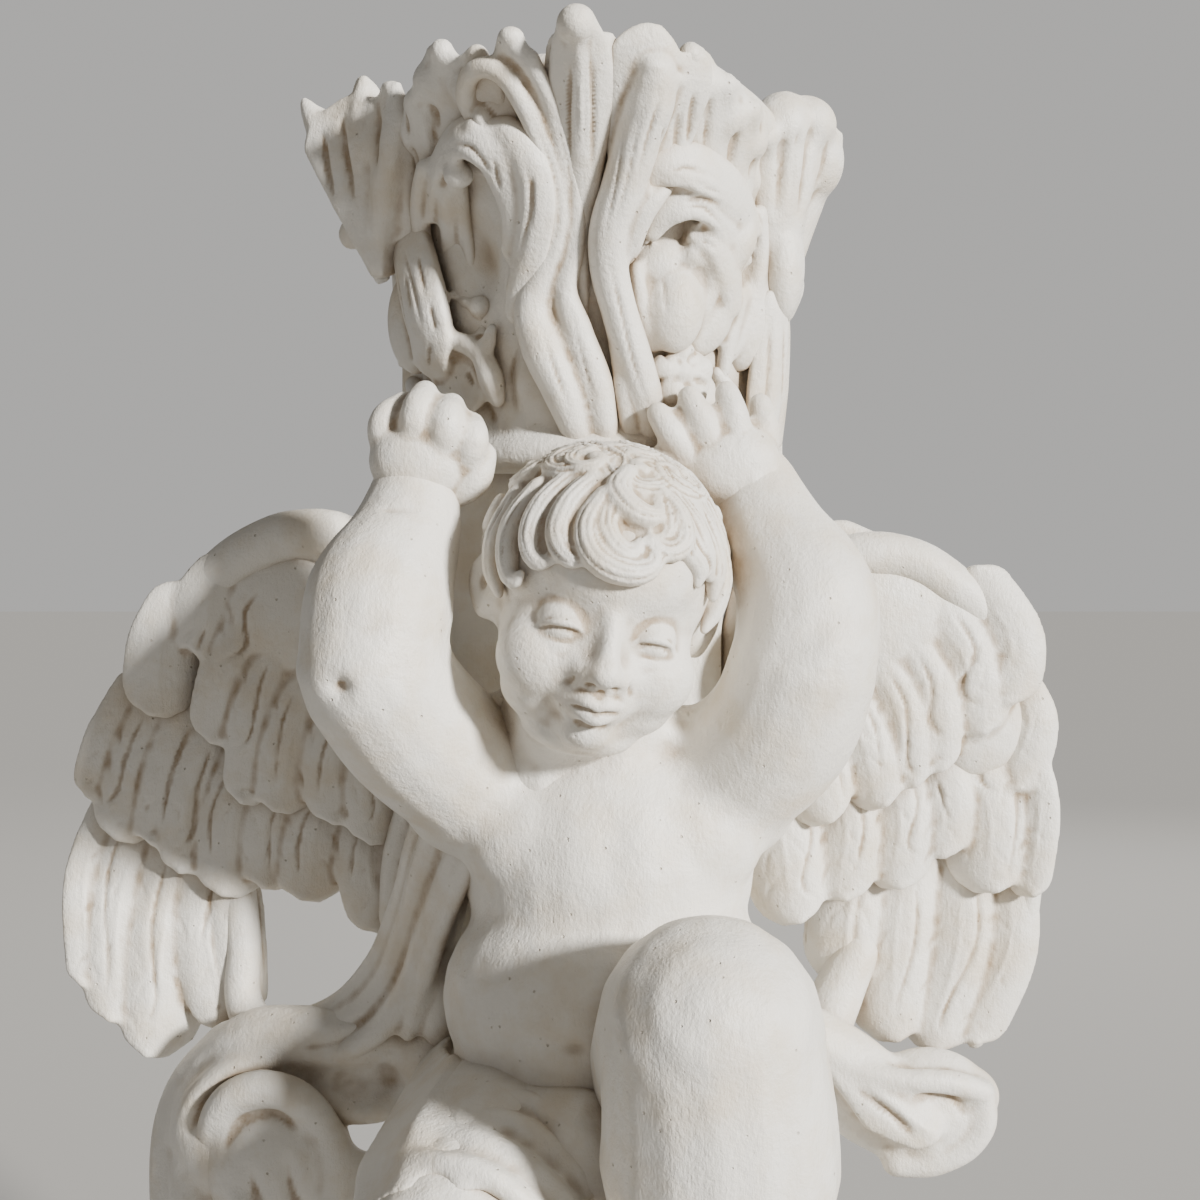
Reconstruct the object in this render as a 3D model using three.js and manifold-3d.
// Wall sconce of a winged cherub that holds up an acanthus capital, cast in resin as
// separate pieces that are glued together, with two keyhole hangers screwed to its back.
// Millimetres. +Z is up, the wall is the plane y = 0 and the figure faces -Y.
// Left and right are those of a person who faces the sconce, so left is -X.
// The origin lies on the wall face of the back plate, on the figure's centre line at its waist.
import * as THREE from "three";
import { mergeVertices } from "three/addons/utils/BufferGeometryUtils.js";
import Module from "manifold-3d";

const wasm = await Module();
wasm.setup();

// ---- Driving dimensions ----------------------------------------------------------------

const GLUE = 0.3; // glue line between two castings

const CUP_BASE = 112; // underside of the capital, which the hands hold up
const CUP_HEIGHT = 78; // from the underside to the rim
const CUP_BASE_HALF_WIDTH = 43;
const CUP_BASE_DEPTH = 46; // from the back plate to the front
const CUP_RIM_HALF_WIDTH = 52;
const CUP_RIM_DEPTH = 68;
const CUP_WALL = 7;
const CUP_FLOOR = 14;
const CUP_CENTRE = 2; // sideways from the figure's centre line
const LEAF_RISE = 12; // how far the tallest leaf tips stand above the rim
const LEAF_THICK = 9;

const PLATE_THICK = 12; // back plate, front to back
const PLATE_HEAD_WIDTH = 97; // straight-sided part behind the capital and the hands
const PLATE_WAIST_WIDTH = 70; // part behind the body
const PLATE_BELOW_RIM = 18;
const PLATE_BELOW_CUP = 16; // the wide part ends this far under the capital

const HANGER_SPACING = 56; // between the two keyhole plates
const HANGER_DROP = 32; // from the top of the back plate to the keyholes' round ends
const HANGER_WIDTH = 16;
const HANGER_LENGTH = 40;
const HANGER_THICK = 1.2;
const KEYHOLE_RADIUS = 4.6; // round end, which a wall screw's head passes
const KEYHOLE_SLOT = 5; // slot width, for the screw's shank
const KEYHOLE_RISE = 9; // slot length above the round end
const POCKET_DEPTH = 8; // room for the wall screw's head
const POCKET_MARGIN = 1.4; // between the keyhole and the pocket's wall
const SCREW_HEAD_RADIUS = 2.7;
const SCREW_SHANK_RADIUS = 1.4;
const SCREW_LENGTH = 9;

const TORSO_RADIUS = 37;
const TORSO_CENTRE = 6; // sideways from the figure's centre line
const TORSO_HEIGHT = 102; // from the seat to the neck
const SEAT_HEIGHT = -52;

const HEAD_HALF_WIDTH = 23;
const HEAD_HALF_HEIGHT = 29;
const HEAD_HALF_DEPTH = 27;
const HEAD_ABOVE_NECK = 30; // from the neck's root to the head's middle
const HEAD_AHEAD = 28; // how far the head leans out in front of the torso's axis
const HEAD_LEAN = 8; // degrees, towards the right shoulder
const CURL_SIZE = 12;

const ARM_RADIUS = 16;
const FOREARM_RADIUS = 14;
const WRIST_RADIUS = 9.5;
const ELBOW_DROP = 45; // from the underside of the capital
const FINGER_RADIUS = 3.4;
const FINGER_LENGTH = 11;

const THIGH_RADIUS = 24;
const CALF_RADIUS = 23;
const ANKLE_RADIUS = 11;
const KNEE_AHEAD = 120; // raised knee's distance from the wall
const FOOT_LENGTH = 34;

const WING_SPAN_LEFT = 131; // from the figure's centre line to the wing's edge
const WING_SPAN_RIGHT = 117;
const WING_TOP = 103;
const WING_HEIGHT = 140;
const WING_THICK = 24; // from the wall to the front of the wing's shoulder
const WING_BASE_THICK = 9.5;
const FEATHER_THICK = 9;

const CLOTH_OVER_LEG = 4; // thickness of the cloth on the thigh
const CLOTH_ROLL = 12; // radius of a roll of gathered cloth
const SWIRL_REACH = 98; // from the centre line to the outside of the cloth's swirl

const CONSOLE_HALF_WIDTH = 34;
const CONSOLE_DEPTH = 44;
const CONSOLE_HEIGHT = 108; // from the seat down to the console's foot
const FINIAL_RADIUS = 9;

// ---- Places worked out from the dimensions ---------------------------------------------

const CUP_RIM = CUP_BASE + CUP_HEIGHT;
const PLATE_TOP = CUP_RIM - PLATE_BELOW_RIM;
const PLATE_STEP = CUP_BASE - PLATE_BELOW_CUP;
const CONSOLE_BOTTOM = SEAT_HEIGHT - CONSOLE_HEIGHT;
const PLATE_BOTTOM = CONSOLE_BOTTOM + 10;
const KEYHOLE_HEIGHT = PLATE_TOP - HANGER_DROP;
const FRONT = -PLATE_THICK - GLUE; // plane on which the castings sit against the plate
const TORSO_AXIS = FRONT - TORSO_RADIUS * 0.96;
const NECK_HEIGHT = SEAT_HEIGHT + TORSO_HEIGHT;
const SHOULDER_HEIGHT = NECK_HEIGHT - 8;
const HEAD_PLACE = [4, TORSO_AXIS - HEAD_AHEAD, NECK_HEIGHT + HEAD_ABOVE_NECK];

// ---- Shared tools ----------------------------------------------------------------------

const DEGREE = Math.PI / 180;
const LIMB_SIDES = 10;
const STEPS_PER_SPAN = 2;
const DOME_ANGLES = [90, 40]; // rings of a limb's rounded end

// A closed geometry as a solid.
function solidOf(geometry) {
  const source = geometry.index ? geometry.toNonIndexed() : geometry;
  const bare = new THREE.BufferGeometry();
  bare.setAttribute("position", source.getAttribute("position"));
  const merged = mergeVertices(bare, 1e-4);
  return new wasm.Manifold(
    new wasm.Mesh({
      numProp: 3,
      vertProperties: merged.attributes.position.array,
      triVerts: new Uint32Array(merged.index.array),
    }),
  );
}

// A solid as a geometry with flat faces.
function geometryOf(solid) {
  const mesh = solid.getMesh();
  const positions = new Float32Array(mesh.triVerts.length * 3);
  mesh.triVerts.forEach((corner, i) => {
    for (let k = 0; k < 3; k++) {
      positions[3 * i + k] = mesh.vertProperties[corner * mesh.numProp + k];
    }
  });
  const geometry = new THREE.BufferGeometry();
  geometry.setAttribute("position", new THREE.BufferAttribute(positions, 3));
  geometry.computeVertexNormals();
  return geometry;
}

const join = (solids) => solids.reduce((all, next) => all.add(next));

const box = (x0, x1, y0, y1, z0, z1) =>
  solidOf(
    new THREE.BoxGeometry(x1 - x0, y1 - y0, z1 - z0).translate(
      (x0 + x1) / 2,
      (y0 + y1) / 2,
      (z0 + z1) / 2,
    ),
  );

// An ellipsoid, turned about the Y axis by `lean` degrees.
const ball = ([x, y, z], [rx, ry, rz], lean = 0, around = 10) =>
  solidOf(
    new THREE.SphereGeometry(1, around, Math.round(around * 0.6))
      .scale(rx, ry, rz)
      .rotateY(lean * DEGREE)
      .translate(x, y, z),
  );

// A cylinder along Y.
const rod = (x, z, radius, y0, y1, sides = 12) =>
  solidOf(
    new THREE.CylinderGeometry(radius, radius, y1 - y0, sides).translate(
      x,
      (y0 + y1) / 2,
      z,
    ),
  );

// A shape drawn in the plane of the wall, from its back plane yBack to its front yFront.
const slab = (shape, yBack, yFront, curveSegments = 5) =>
  solidOf(
    new THREE.ExtrudeGeometry(shape, {
      depth: yBack - yFront,
      bevelEnabled: false,
      curveSegments,
    })
      .rotateX(Math.PI / 2)
      .translate(0, yBack, 0),
  );

// A turned form about an upright axis. Its profile is [radius, height] pairs, bottom to top.
const turned = (profile, x, y, depthShare = 1, sides = 16) =>
  solidOf(
    new THREE.LatheGeometry(
      profile.map(([r, h]) => new THREE.Vector2(r, h)),
      sides,
    )
      .rotateX(Math.PI / 2)
      .scale(1, depthShare, 1)
      .translate(x, y, 0),
  );

// A limb is a lathe bent along the line through its stations, [x, y, z, radius] each.
// Both of its ends are domes.
function limb(stations, grow = 0, sides = LIMB_SIDES) {
  const line = new THREE.CatmullRomCurve3(
    stations.map(([x, y, z]) => new THREE.Vector3(x, y, z)),
  );
  const steps = (stations.length - 1) * STEPS_PER_SPAN;
  const frames = line.computeFrenetFrames(steps, false);
  const radiusAt = (u) => {
    const place = line.getUtoTmapping(u) * (stations.length - 1);
    const before = Math.min(Math.floor(place), stations.length - 2);
    const share = THREE.MathUtils.smoothstep(place - before, 0, 1);
    return (
      THREE.MathUtils.lerp(
        stations[before][3],
        stations[before + 1][3],
        share,
      ) + grow
    );
  };
  const rings = [];
  const dome = (step, way, angle) => {
    const radius = radiusAt(step / steps);
    const reach = way * radius * Math.sin(angle * DEGREE);
    const centre = line
      .getPointAt(step / steps)
      .addScaledVector(frames.tangents[step], reach);
    rings.push({ step, centre, radius: radius * Math.cos(angle * DEGREE) });
  };
  DOME_ANGLES.forEach((angle) => dome(0, -1, angle));
  for (let step = 0; step <= steps; step++) {
    const u = step / steps;
    rings.push({ step, centre: line.getPointAt(u), radius: radiusAt(u) });
  }
  [...DOME_ANGLES].reverse().forEach((angle) => dome(steps, 1, angle));

  const last = rings.length - 1;
  const profile = rings.map(
    (_, i) => new THREE.Vector2(i % last === 0 ? 0 : 1, i),
  );
  const geometry = new THREE.LatheGeometry(profile, sides);
  const position = geometry.getAttribute("position");
  const vertex = new THREE.Vector3();
  for (let i = 0; i < position.count; i++) {
    vertex.fromBufferAttribute(position, i);
    const { step, centre, radius } = rings[Math.round(vertex.y)];
    const place = centre
      .clone()
      .addScaledVector(frames.binormals[step], vertex.x * radius)
      .addScaledVector(frames.normals[step], vertex.z * radius);
    position.setXYZ(i, place.x, place.y, place.z);
  }
  return solidOf(geometry);
}

// A box of unit size whose corners are moved by `place(u, v, w)`, with u, v and w from 0 to 1.
function moulded(place, across, along) {
  const geometry = new THREE.BoxGeometry(1, 1, 1, across, along, 1);
  const position = geometry.getAttribute("position");
  for (let i = 0; i < position.count; i++) {
    const [x, y, z] = place(
      position.getX(i) + 0.5,
      position.getY(i) + 0.5,
      position.getZ(i) + 0.5,
    );
    position.setXYZ(i, x, y, z);
  }
  return solidOf(geometry);
}

// ---- Back plate and hangers ------------------------------------------------------------

const SIDES = { left: -1, right: 1 };
const hangerX = (side) => (SIDES[side] * HANGER_SPACING) / 2;
const hangerMiddle = KEYHOLE_HEIGHT + KEYHOLE_RISE / 2;
const SCREW_OFFSET = HANGER_LENGTH / 2 - 5;
const SCREW_PLACES = { upper: SCREW_OFFSET, lower: -SCREW_OFFSET };
const HANGER_BACK = -0.2; // the hanger lies just below the wall face

function hangerScrew(side, place, grow = 0) {
  const x = hangerX(side);
  const z = hangerMiddle + SCREW_PLACES[place];
  const headDeep = HANGER_BACK - HANGER_THICK;
  return solidOf(
    new THREE.LatheGeometry(
      [
        [0, -SCREW_LENGTH - grow],
        [SCREW_SHANK_RADIUS + grow, -SCREW_LENGTH + 2 - grow],
        [SCREW_SHANK_RADIUS + grow, headDeep - 0.5],
        [SCREW_HEAD_RADIUS + grow, HANGER_BACK - 0.2],
        [SCREW_HEAD_RADIUS + grow, HANGER_BACK + grow],
        [0, HANGER_BACK + grow],
      ].map(([r, h]) => new THREE.Vector2(r, h)),
      10,
    ).translate(x, 0, z),
  );
}

function keyhole(side, grow, yBack, yFront) {
  const x = hangerX(side);
  const round = rod(x, KEYHOLE_HEIGHT, KEYHOLE_RADIUS + grow, yFront, yBack);
  const slotTop = KEYHOLE_HEIGHT + KEYHOLE_RISE;
  const half = KEYHOLE_SLOT / 2 + grow;
  return round
    .add(box(x - half, x + half, yFront, yBack, KEYHOLE_HEIGHT, slotTop))
    .add(rod(x, slotTop, half, yFront, yBack));
}

function hangerPlate(side, grow = 0) {
  const x = hangerX(side);
  const half = HANGER_WIDTH / 2 + grow;
  const body = box(
    x - half,
    x + half,
    HANGER_BACK - HANGER_THICK - grow,
    HANGER_BACK + 4 * grow,
    hangerMiddle - HANGER_LENGTH / 2 - grow,
    hangerMiddle + HANGER_LENGTH / 2 + grow,
  );
  return grow > 0 ? body : body.subtract(keyhole(side, 0, 1, -3));
}

// The plate is straight-sided behind the capital, narrower behind the body, and ends in an arc.
function backPlate(grow = 0) {
  const head = PLATE_HEAD_WIDTH / 2 + grow;
  const waist = PLATE_WAIST_WIDTH / 2 + grow;
  const shape = new THREE.Shape();
  shape.moveTo(CUP_CENTRE - head, PLATE_TOP + grow);
  shape.lineTo(CUP_CENTRE - head, PLATE_STEP - grow);
  shape.quadraticCurveTo(-waist, PLATE_STEP - 6, -waist, PLATE_STEP - 24);
  shape.lineTo(-waist, PLATE_BOTTOM + waist);
  shape.absarc(0, PLATE_BOTTOM + waist, waist, Math.PI, 2 * Math.PI, false);
  shape.lineTo(waist, PLATE_STEP - 24);
  shape.quadraticCurveTo(
    waist,
    PLATE_STEP - 6,
    CUP_CENTRE + head,
    PLATE_STEP - grow,
  );
  shape.lineTo(CUP_CENTRE + head, PLATE_TOP + grow);
  let plate = slab(shape, 0, -PLATE_THICK - grow);
  if (grow > 0) return plate;
  for (const side of Object.keys(SIDES)) {
    const x = hangerX(side);
    const room = KEYHOLE_RADIUS + POCKET_MARGIN;
    const top = KEYHOLE_HEIGHT + KEYHOLE_RISE + KEYHOLE_SLOT / 2 + POCKET_MARGIN;
    plate = plate.subtract(
      box(x - room, x + room, -POCKET_DEPTH, 1, KEYHOLE_HEIGHT - room, top),
    );
  }
  return plate;
}

// ---- Capital ---------------------------------------------------------------------------

// The capital's outer wall: half of an ellipse in plan, which widens towards the rim.
function cupSize(height) {
  const share = THREE.MathUtils.clamp(
    (height - CUP_BASE) / (CUP_RIM - CUP_BASE),
    0,
    1.3,
  );
  const flare = share ** 1.6;
  return {
    halfWidth: THREE.MathUtils.lerp(
      CUP_BASE_HALF_WIDTH,
      CUP_RIM_HALF_WIDTH,
      flare,
    ),
    depth: THREE.MathUtils.lerp(CUP_BASE_DEPTH, CUP_RIM_DEPTH, flare),
  };
}

// A point on the wall or `out` in front of it. Angle 0 is the front, and positive goes right.
function onCup(angle, height, out) {
  const { halfWidth, depth } = cupSize(height);
  return [
    CUP_CENTRE + (halfWidth + out) * Math.sin(angle * DEGREE),
    FRONT - (depth + out) * Math.cos(angle * DEGREE),
    height,
  ];
}

const CUP_HEIGHTS = [0, 0.33, 0.67, 1].map((share) =>
  THREE.MathUtils.lerp(CUP_BASE, CUP_RIM, share),
);

// A solid with the form of the capital's wall, moved `out` outwards, between two heights.
function cupForm(out, bottom, top) {
  const inside = CUP_HEIGHTS.filter((h) => h > bottom + 1 && h < top - 1);
  const heights = [bottom, ...inside, top];
  const rows = heights.length;
  const around = 16;
  const profile = [
    new THREE.Vector2(0, 0),
    ...heights.map((_, i) => new THREE.Vector2(1, i)),
    new THREE.Vector2(0, rows - 1),
  ];
  const geometry = new THREE.LatheGeometry(profile, around);
  const position = geometry.getAttribute("position");
  for (let i = 0; i < position.count; i++) {
    const height = heights[Math.round(position.getY(i))];
    const { halfWidth, depth } = cupSize(height);
    position.setXYZ(
      i,
      CUP_CENTRE + position.getX(i) * (halfWidth + out),
      FRONT - position.getZ(i) * (depth + out),
      height,
    );
  }
  return solidOf(geometry);
}

const aheadOf = (plane) => box(-300, 300, -300, plane, -300, 300);

function capitalCup(grow = 0) {
  const outer = cupForm(grow, CUP_BASE - grow, CUP_RIM + grow).intersect(
    aheadOf(FRONT + grow),
  );
  if (grow > 0) return outer;
  const hollow = cupForm(-CUP_WALL, CUP_BASE + CUP_FLOOR, CUP_RIM + 5);
  return outer.subtract(hollow.intersect(aheadOf(FRONT - CUP_WALL)));
}

// A leaf that stands on the capital's wall. `from` and `to` are shares of the capital's height,
// and `over` is how far the tip stands above `to`. Its outline is widest at `belly` of its height.
function leaf(spec, grow = 0) {
  const { angle, spread, from, to, over = 0, curl = 0, lean = 0 } = spec;
  const { thick = LEAF_THICK, belly = 0.55, tip = 0.25, foot = 0.45 } = spec;
  const low = CUP_BASE + from * CUP_HEIGHT - grow;
  const high = CUP_BASE + to * CUP_HEIGHT + over * LEAF_RISE + grow;
  const back = grow > 0 ? 0 : GLUE;
  return moulded(
    (u, v, w) => {
      const rise =
        v < belly
          ? THREE.MathUtils.lerp(foot, 1, Math.sin((v / belly) * (Math.PI / 2)))
          : THREE.MathUtils.lerp(
              tip,
              1,
              Math.cos((((v - belly) / (1 - belly)) * Math.PI) / 2),
            );
      const side = 2 * u - 1;
      const swell = thick * (1 - 0.55 * side * side) + 2 * grow;
      return onCup(
        angle + lean * (v - 0.5) + side * (spread * rise + 1.3 * grow),
        THREE.MathUtils.lerp(low, high, v),
        curl * v * v * v + back + w * swell,
      );
    },
    2,
    5,
  );
}

const LEAVES = {
  leaf_centre: { angle: -2, spread: 7, from: 0.48, to: 1, over: 1, curl: 4, foot: 0.2 },
  leaf_inner_left: { angle: -14, spread: 15, from: 0.02, to: 1, over: 0.5, lean: -18, belly: 0.7 },
  leaf_inner_right: { angle: 13, spread: 15, from: 0.02, to: 1, over: 0.8, lean: 12, belly: 0.7 },
  leaf_scroll_left: { angle: -36, spread: 12, from: 0.36, to: 0.9, thick: 11, curl: 3 },
  leaf_lobe_left: { angle: -60, spread: 15, from: 0.12, to: 0.66, foot: 0.7, belly: 0.4 },
  leaf_fold_right: { angle: 38, spread: 16, from: 0.36, to: 0.95, belly: 0.7 },
  rosette_right: { angle: 31, spread: 10, from: 0.1, to: 0.36, foot: 0.7, tip: 0.7 },
  leaf_corner_left: { angle: -66, spread: 18, from: 0.6, to: 1, over: 1, curl: 7, belly: 0.8, tip: 0.6 },
  leaf_corner_right: { angle: 66, spread: 18, from: 0.55, to: 1, over: 0.2, curl: 6, belly: 0.8, tip: 0.6 },
  leaf_rim_left: { angle: -36, spread: 15, from: 0.82, to: 1, over: 1 },
  leaf_rim_right: { angle: 38, spread: 14, from: 0.86, to: 1, over: 0.8 },
  leaf_flank_right: { angle: 68, spread: 14, from: 0.06, to: 0.54, thick: 6 },
};

// ---- Figure ----------------------------------------------------------------------------

function torso(grow = 0) {
  const wide = (share) => share * TORSO_RADIUS + grow;
  const at = (share) => SEAT_HEIGHT + share * TORSO_HEIGHT;
  const profile = [
    [0, at(0) - grow],
    [wide(0.62), at(0.02) - grow],
    [wide(0.98), at(0.16)],
    [wide(1.03), at(0.32)],
    [wide(0.94), at(0.68)],
    [wide(0.94), at(0.86)],
    [wide(0.75), at(0.93)],
    [wide(0.38), at(0.99) + grow],
    [0, at(1) + grow],
  ];
  return turned(profile, TORSO_CENTRE, TORSO_AXIS).intersect(
    aheadOf(FRONT + grow),
  );
}

function head(grow = 0) {
  const [x, y, z] = HEAD_PLACE;
  const skull = ball(
    HEAD_PLACE,
    [HEAD_HALF_WIDTH + grow, HEAD_HALF_DEPTH + grow, HEAD_HALF_HEIGHT + grow],
    HEAD_LEAN,
    14,
  );
  const neck = limb(
    [
      [x, y + 8, z - HEAD_HALF_HEIGHT / 3, 14],
      [TORSO_CENTRE, TORSO_AXIS - 8, NECK_HEIGHT - 6, 15],
    ],
    grow,
    8,
  );
  return skull.add(neck);
}

// Masses of curls, each [across, forward, up, size] in shares of the head's half sizes.
const CURLS = [
  [-0.7, 0.1, 0.4, 0.9],
  [-0.35, 0.5, 0.68, 1],
  [0.25, 0.6, 0.76, 1],
  [0.7, 0.3, 0.58, 1],
  [0, 0, 0.8, 1.25],
];

function hair(grow = 0) {
  const [x, y, z] = HEAD_PLACE;
  return join(
    CURLS.map(([across, forward, up, size]) => {
      const radius = size * CURL_SIZE + grow;
      const place = [
        x + across * HEAD_HALF_WIDTH,
        y - forward * HEAD_HALF_DEPTH,
        z + up * HEAD_HALF_HEIGHT,
      ];
      return ball(place, [radius, radius, radius], 0, 8);
    }),
  );
}

const shoulderX = (side) =>
  TORSO_CENTRE + SIDES[side] * (0.94 * TORSO_RADIUS - 7);

// Elbow and wrist of each raised arm. The wrists stand under the capital.
const ELBOW_HEIGHT = CUP_BASE - ELBOW_DROP;
const WRIST_HEIGHT = CUP_BASE - 8.5;
const ARMS = {
  left: {
    elbow: [shoulderX("left") - 25, TORSO_AXIS - 36, ELBOW_HEIGHT],
    wrist: [CUP_CENTRE - 38, FRONT - CUP_BASE_DEPTH - 2, WRIST_HEIGHT],
  },
  right: {
    elbow: [shoulderX("right") + 20, TORSO_AXIS - 22, ELBOW_HEIGHT + 1],
    wrist: [CUP_CENTRE + 37, FRONT - CUP_BASE_DEPTH + 4, WRIST_HEIGHT],
  },
};

function arm(side, grow = 0) {
  const { elbow, wrist } = ARMS[side];
  const middle = elbow.map((place, k) => (place + wrist[k]) / 2);
  const shoulder = [shoulderX(side), TORSO_AXIS - 4, SHOULDER_HEIGHT];
  const upper = limb(
    [
      [...shoulder, ARM_RADIUS],
      [...elbow, ARM_RADIUS - 1],
    ],
    grow,
  );
  const fore = limb(
    [
      [...elbow, FOREARM_RADIUS + 0.5],
      [...middle, FOREARM_RADIUS - 0.5],
      [...wrist, WRIST_RADIUS],
    ],
    grow,
  );
  return upper.add(fore);
}

// Sideways place of each finger from the wrist.
const FINGER_FAN = {
  left: [-8, -1.5, 4, 9],
  right: [-13, -7, -1, 5],
};

function hand(side, grow = 0) {
  const [wx, wy, wz] = ARMS[side].wrist;
  const palm = ball(
    [wx - 2 * SIDES[side], wy - 3, wz + 6],
    [WRIST_RADIUS + 2 + grow, WRIST_RADIUS - 1 + grow, WRIST_RADIUS + 1.5 + grow],
  );
  const fingers = FINGER_FAN[side].map((offset) =>
    limb(
      [
        [wx + offset, wy - 5, wz + 8, FINGER_RADIUS],
        [wx + offset * 1.15, wy - 6, wz + 9 + FINGER_LENGTH, FINGER_RADIUS],
      ],
      grow,
      6,
    ),
  );
  return join([palm, ...fingers]);
}

// Legs from the hip over the knee and calf to the ankle. The right knee is drawn up.
const LEGS = {
  right: {
    hip: [TORSO_CENTRE + 20, TORSO_AXIS - 6, SEAT_HEIGHT + 18],
    knee: [TORSO_CENTRE + 20, -KNEE_AHEAD, SEAT_HEIGHT + 50],
    calf: [TORSO_CENTRE + 22, 2 - KNEE_AHEAD, SEAT_HEIGHT + 18],
    ankle: [TORSO_CENTRE + 10, 30 - KNEE_AHEAD, SEAT_HEIGHT - 26],
  },
  left: {
    hip: [TORSO_CENTRE - 16, TORSO_AXIS - 4, SEAT_HEIGHT + 12],
    knee: [TORSO_CENTRE - 31, 22 - KNEE_AHEAD, SEAT_HEIGHT + 2],
    calf: [TORSO_CENTRE - 28, 28 - KNEE_AHEAD, SEAT_HEIGHT - 24],
    ankle: [TORSO_CENTRE - 20, 46 - KNEE_AHEAD, SEAT_HEIGHT - 60],
  },
};

function leg(side, grow = 0) {
  const { hip, knee, calf, ankle } = LEGS[side];
  const thigh = limb(
    [
      [...hip, THIGH_RADIUS],
      [...knee, THIGH_RADIUS - 3],
    ],
    grow,
  );
  const shin = limb(
    [
      [...knee, CALF_RADIUS - 2],
      [...calf, CALF_RADIUS],
      [...ankle, ANKLE_RADIUS],
    ],
    grow,
  );
  return thigh.add(shin);
}

function foot(side, grow = 0) {
  const [x, y, z] = LEGS[side].ankle;
  return limb(
    [
      [x, y + 6, z - 8, ANKLE_RADIUS - 1],
      [x - 2, y - FOOT_LENGTH * 0.35, z - 14, ANKLE_RADIUS - 2],
      [x - 3, y - FOOT_LENGTH * 0.7, z - 20, ANKLE_RADIUS - 4],
    ],
    grow,
    8,
  );
}

// ---- Wings -----------------------------------------------------------------------------

// A place on a wing: the share of the way out from the back plate's edge to the wing's outer
// edge, and the share of the wing's height down from its top.
const onWing = (side, [out, down]) => [
  SIDES[side] *
    THREE.MathUtils.lerp(
      PLATE_WAIST_WIDTH / 2,
      side === "left" ? WING_SPAN_LEFT : WING_SPAN_RIGHT,
      out,
    ),
  WING_TOP - down * WING_HEIGHT,
];

const WING_EDGE = [
  [0.04, 0.14],
  [0.28, 0.02],
  [0.48, 0.03],
  [0.67, 0.15],
  [0.84, 0.31],
  [0.93, 0.45],
  [0.97, 0.7],
  [0.89, 0.9],
  [0.73, 0.94],
  [0.59, 0.86],
  [0.51, 0.66],
  [0.26, 0.62],
  [0.04, 0.5],
];

function wingBase(side, grow = 0) {
  const rim = new THREE.CatmullRomCurve3(
    WING_EDGE.map((share) => {
      const [x, z] = onWing(side, share);
      return new THREE.Vector3(x, z, 0);
    }),
    true,
  );
  const shape = new THREE.Shape(
    rim.getSpacedPoints(28).map(({ x, y }) => new THREE.Vector2(x, y)),
  );
  return slab(shape, -GLUE, -WING_BASE_THICK - grow);
}

// A feather lies in the plane of the wall between its root and its tip.
// Its spine stands `out` from the wall.
function feather([rx, rz], [tx, tz], halfWidth, out, grow = 0) {
  const length = Math.hypot(tx - rx, tz - rz);
  return solidOf(
    new THREE.SphereGeometry(1, 8, 6)
      .scale(length / 2 + grow, FEATHER_THICK / 2 + grow, halfWidth + grow)
      .rotateY(-Math.atan2(tz - rz, tx - rx))
      .translate((rx + tx) / 2, -out, (rz + tz) / 2),
  );
}

// Rows of feathers: root and tip as shares of the wing, then the half width in millimetres.
const WING_ROWS = {
  shoulder: {
    out: WING_THICK - FEATHER_THICK / 2,
    feathers: [
      [[-0.04, 0.16], [0.54, 0.08], 13],
      [[0.18, 0.14], [0.81, 0.26], 13],
      [[-0.01, 0.3], [0.62, 0.3], 15],
    ],
  },
  coverts: {
    out: WING_BASE_THICK + FEATHER_THICK * 0.45,
    feathers: [
      [[0.81, 0.24], [0.97, 0.6], 12],
      [[0.62, 0.22], [0.78, 0.62], 12],
      [[0.43, 0.24], [0.56, 0.62], 12],
      [[0.21, 0.28], [0.32, 0.62], 12],
    ],
  },
  flights: {
    out: WING_BASE_THICK,
    feathers: [
      [[0.86, 0.5], [0.96, 0.95], 11],
      [[0.73, 0.5], [0.8, 1], 12],
      [[0.59, 0.5], [0.62, 0.92], 11],
    ],
  },
};

function wingRow(side, row, grow = 0) {
  const { out, feathers } = WING_ROWS[row];
  return join(
    feathers.map(([root, tip, halfWidth]) =>
      feather(onWing(side, root), onWing(side, tip), halfWidth, out, grow),
    ),
  );
}

// ---- Drapery and console ---------------------------------------------------------------

// Cloth from the left shoulder down the figure's side.
const shoulderSash = (grow = 0) =>
  limb(
    [
      [shoulderX("left") + 12, TORSO_AXIS - 24, SHOULDER_HEIGHT + 8, CLOTH_ROLL / 2],
      [shoulderX("left") - 6, TORSO_AXIS - 8, SHOULDER_HEIGHT - 26, CLOTH_ROLL * 0.75],
      [shoulderX("left") - 16, TORSO_AXIS + 14, SEAT_HEIGHT + 38, CLOTH_ROLL * 0.85],
    ],
    grow,
    8,
  );

// Cloth over the left thigh.
function thighDrape(grow = 0) {
  const { hip, knee } = LEGS.left;
  const over = THIGH_RADIUS + CLOTH_OVER_LEG;
  return limb(
    [
      [hip[0] - 4, hip[1] + 8, hip[2] - 2, over],
      [knee[0], knee[1] + 6, knee[2], over - 3],
    ],
    grow,
    9,
  );
}

// Cloth gathered across the lap, from the left hip to the raised thigh.
function lapDrape(grow = 0) {
  const { hip } = LEGS.left;
  const raised = LEGS.right.hip;
  return limb(
    [
      [hip[0] - 12, hip[1] - 14, hip[2] + 8, CLOTH_ROLL + 2],
      [TORSO_CENTRE, TORSO_AXIS - TORSO_RADIUS - 4, hip[2] + 2, CLOTH_ROLL + 2],
      [raised[0], raised[1] - 26, hip[2] - 10, CLOTH_ROLL],
    ],
    grow,
    8,
  );
}

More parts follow.
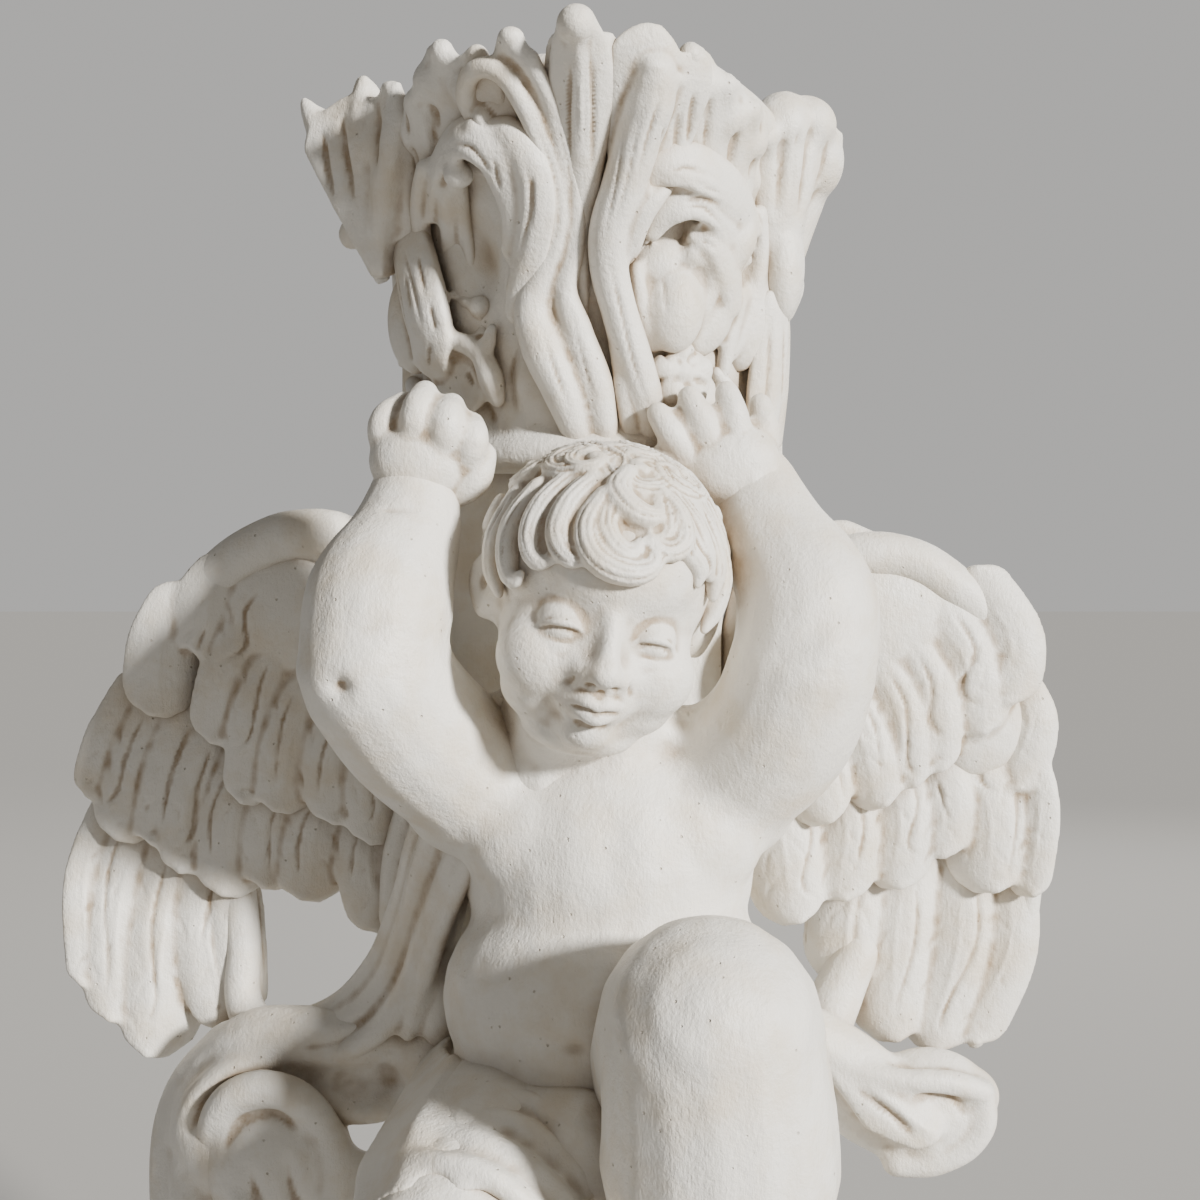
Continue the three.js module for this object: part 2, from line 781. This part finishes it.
// Cloth that swirls from the left wing's foot round behind the hip.
const outerSwirl = (grow = 0) =>
  limb(
    [
      [-PLATE_WAIST_WIDTH / 2 - 6, -28, SEAT_HEIGHT + 26, CLOTH_ROLL],
      [-0.75 * SWIRL_REACH, -20, SEAT_HEIGHT + 20, CLOTH_ROLL],
      [-SWIRL_REACH, -16, SEAT_HEIGHT - 4, CLOTH_ROLL],
      [-0.88 * SWIRL_REACH, -22, SEAT_HEIGHT - 34, CLOTH_ROLL + 3],
      [-0.55 * SWIRL_REACH, -26, SEAT_HEIGHT - 50, CLOTH_ROLL + 5],
      [-PLATE_WAIST_WIDTH / 2 + 12, -30, SEAT_HEIGHT - 54, CLOTH_ROLL + 6],
    ],
    grow,
  );

// The gathered cloth inside the swirl.
const innerSwirl = (grow = 0) =>
  limb(
    [
      [-PLATE_WAIST_WIDTH / 2 - 8, -34, SEAT_HEIGHT + 8, CLOTH_ROLL],
      [-0.72 * SWIRL_REACH, -26, SEAT_HEIGHT - 8, CLOTH_ROLL + 2],
      [-PLATE_WAIST_WIDTH / 2 - 8, -32, SEAT_HEIGHT - 30, CLOTH_ROLL + 4],
    ],
    grow,
    8,
  );

// The free end of the cloth, below the right wing.
const tailDrape = (grow = 0) =>
  limb(
    [
      [PLATE_WAIST_WIDTH / 2, -30, SEAT_HEIGHT + 18, CLOTH_ROLL + 4],
      [0.68 * SWIRL_REACH, -20, SEAT_HEIGHT + 10, CLOTH_ROLL + 2],
      [0.92 * SWIRL_REACH, -15, SEAT_HEIGHT + 4, CLOTH_ROLL],
    ],
    grow,
  );

// Bracket below the seat, half round in plan, which narrows to the finial.
function consoleBracket(grow = 0) {
  const wide = (share) => share * CONSOLE_HALF_WIDTH + grow;
  const at = (share) => SEAT_HEIGHT + 6 - share * CONSOLE_HEIGHT;
  const profile = [
    [0, at(1) - grow],
    [wide(0.2), at(1) - grow],
    [wide(0.42), at(0.82)],
    [wide(0.8), at(0.55)],
    [wide(1), at(0.25)],
    [wide(0.96), at(0) + grow],
    [0, at(0) + grow],
  ];
  return turned(
    profile,
    0,
    FRONT,
    CONSOLE_DEPTH / CONSOLE_HALF_WIDTH,
  ).intersect(aheadOf(FRONT + grow));
}

// Drop-shaped finial under the console.
const finial = (grow = 0) =>
  ball(
    [0, FRONT - FINIAL_RADIUS - 1, CONSOLE_BOTTOM - 2],
    [FINIAL_RADIUS + grow, FINIAL_RADIUS + grow, 1.5 * FINIAL_RADIUS + grow],
  );

// ---- Assembly --------------------------------------------------------------------------

const RESIN = { color: 0xe6e2d8, roughness: 0.62, metalness: 0 };
const ZINC = { color: 0xb9bcc0, roughness: 0.35, metalness: 1 };
const BRASS = { color: 0xc9a75a, roughness: 0.35, metalness: 1 };

// Pieces in fitting order: each is cut clear of the ones before it by the glue line.
const pieces = [];
const add = (name, form, material = RESIN) =>
  pieces.push({ name, form, material });

for (const side of Object.keys(SIDES)) {
  for (const place of Object.keys(SCREW_PLACES)) {
    add(
      `hanger_screw_${side}_${place}`,
      (grow) => hangerScrew(side, place, grow),
      BRASS,
    );
  }
  add(`hanger_plate_${side}`, (grow) => hangerPlate(side, grow), ZINC);
}
add("back_plate", backPlate);
add("torso", torso);
add("head", head);
add("hair", hair);
add("arm_left", (grow) => arm("left", grow));
add("arm_right", (grow) => arm("right", grow));
add("hand_left", (grow) => hand("left", grow));
add("hand_right", (grow) => hand("right", grow));
add("leg_right", (grow) => leg("right", grow));
add("leg_left", (grow) => leg("left", grow));
add("foot_right", (grow) => foot("right", grow));
add("foot_left", (grow) => foot("left", grow));
add("capital_cup", capitalCup);
for (const [name, spec] of Object.entries(LEAVES)) {
  add(name, (grow) => leaf(spec, grow));
}
for (const side of Object.keys(SIDES)) {
  add(`wing_${side}_base`, (grow) => wingBase(side, grow));
  for (const row of Object.keys(WING_ROWS)) {
    add(`wing_${side}_${row}`, (grow) => wingRow(side, row, grow));
  }
}
add("thigh_drape", thighDrape);
add("lap_drape", lapDrape);
add("shoulder_sash", shoulderSash);
add("console_bracket", consoleBracket);
add("finial", finial);
add("side_drape_outer", outerSwirl);
add("side_drape_inner", innerSwirl);
add("tail_drape", tailDrape);

const apart = (a, b) =>
  [0, 1, 2].some((k) => a.min[k] > b.max[k] || b.min[k] > a.max[k]);

const behindWall = box(-300, 300, 0, 300, -300, 300);
const sconce = new THREE.Group();
const fitted = [];
for (const { name, form, material } of pieces) {
  const whole = form(0);
  const near = fitted.filter(
    (earlier) => !apart(whole.boundingBox(), earlier.boundingBox()),
  );
  const bodies = whole
    .subtract(join([behindWall, ...near]))
    .decompose()
    .sort((one, other) => other.volume() - one.volume());
  fitted.push(form(GLUE));
  const mesh = new THREE.Mesh(
    geometryOf(bodies[0]),
    new THREE.MeshStandardMaterial(material),
  );
  mesh.name = name;
  sconce.add(mesh);
}

export default sconce;
